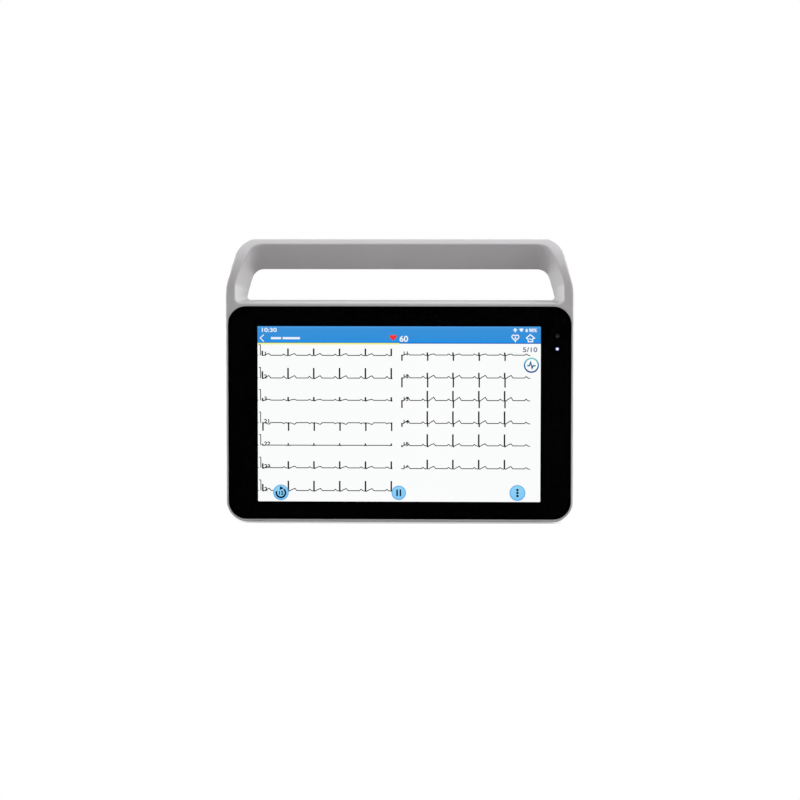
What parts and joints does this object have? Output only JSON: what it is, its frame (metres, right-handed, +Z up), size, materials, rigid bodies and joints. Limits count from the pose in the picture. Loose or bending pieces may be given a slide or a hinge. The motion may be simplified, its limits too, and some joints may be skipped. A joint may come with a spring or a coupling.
{
  "type": "ecg home monitor",
  "caption": "Tablet-style ECG monitor with a lit touch screen, integral carry handle, folding rear stand, lead socket and side port door.",
  "frame": {"origin": "on the floor under the feet, at the middle of the unit's width and depth", "axes": "+X to the right as seen facing the screen, +Y from the screen into the unit, +Z up; the screen faces -Y"},
  "size_m": [0.2658, 0.052, 0.2175],
  "materials": {
    "shell": "fine grained, silver grey",
    "clear_glass": "anti-reflection coated, polished edge",
    "black_print": "printed black border",
    "adhesive": "black foam tape",
    "screen": "lit display",
    "white_diffuser": "satin white",
    "sheet_metal": "zinc plated",
    "module_tray": "stamped",
    "screw_steel": "dark zinc",
    "spacer_brass": "turned",
    "circuit_board": "green solder mask",
    "chip_black": "moulded",
    "heat_sink_alloy": "extruded",
    "tinned_shield": "tinned sheet",
    "socket_ivory": "moulded",
    "cell_steel": "polished",
    "capacitor_can": "drawn",
    "flex_film": "amber film",
    "connector_black": "moulded",
    "connector_shell": "nickel plated",
    "post_steel": "nickel plated",
    "door_plastic": "fine grained grey",
    "button_plastic": "satin grey",
    "light_pipe": "clear moulded",
    "sensor_dark": "dark filter",
    "speaker_black": "coated paper",
    "wire_black": "pvc",
    "battery_wrap": "sleeved",
    "contact_gold": "plated",
    "plate_satin": "blank satin foil",
    "stand_grey": "fine grained darker grey",
    "foot_rubber": "moulded"
  },
  "bodies": {
    "unit": {"battery_contacts": "contact_gold", "battery_cover": "shell", "battery_leads": "wire_black", "battery_pack": "battery_wrap", "board_chips": "chip_black", "board_screws": "screw_steel", "board_sockets": "socket_ivory", "board_spacers": "spacer_brass", "bracket_screws": "screw_steel", "capacitors": "capacitor_can", "coin_cell": "cell_steel", "coin_holder": "chip_black", "cover_glass": "clear_glass", "cover_screws": "screw_steel", "display_bracket": "sheet_metal", "door_pin": "post_steel", "ecg_board": "circuit_board", "ecg_shield": "tinned_shield", "ecg_socket": "connector_black", "ecg_socket_shell": "connector_shell", "ecg_spacers": "spacer_brass", "front_housing": "shell", "glass_adhesive": "adhesive", "glass_mask": "black_print", "heat_sink": "heat_sink_alloy", "housing_screws": "screw_steel", "io_board": "circuit_board", "io_spacers": "spacer_brass", "jack_pin": "post_steel", "jack_posts": "post_steel", "lcd_panel": "screen", "lcd_ribbon": "flex_film", "lcd_tray": "module_tray", "light_guide": "white_diffuser", "light_pipe": "light_pipe", "light_sensor": "sensor_dark", "main_board": "circuit_board", "power_jack": "connector_black", "power_switch": "chip_black", "rating_plate": "plate_satin", "rear_housing": "shell", "rubber_feet": "foot_rubber", "sensor_board": "circuit_board", "sensor_screws": "screw_steel", "shield_can": "tinned_shield", "speaker": "speaker_black", "speaker_leads": "wire_black", "stand_pins": "post_steel", "status_led": "light_pipe", "switch_board": "circuit_board", "switch_screws": "screw_steel", "usb_shells": "connector_shell", "usb_tongues": "connector_black"},
    "stand": {"stand": "stand_grey", "stand_pads": "foot_rubber"},
    "port_door": {"port_door": "door_plastic"},
    "power_button": {"power_button": "button_plastic"}
  },
  "joints": [
    {"name": "stand_hinge", "type": "hinge", "parent": "unit", "child": "stand", "pos_m": [0, 0.0225, 0.113], "axis": [1, 0, 0], "range_deg": [0, 32]},
    {"name": "port_door_hinge", "type": "hinge", "parent": "unit", "child": "port_door", "pos_m": [0.13185, -0.0046, 0.067], "axis": [0, 0, 1], "range_deg": [0, 95]},
    {"name": "power_button_press", "type": "slide", "parent": "unit", "child": "power_button", "axis": [-1, 0, 0], "range_m": [0, 0.0008], "stiffness_N_per_m": 1500, "springref_m": -0.0003}
  ]
}
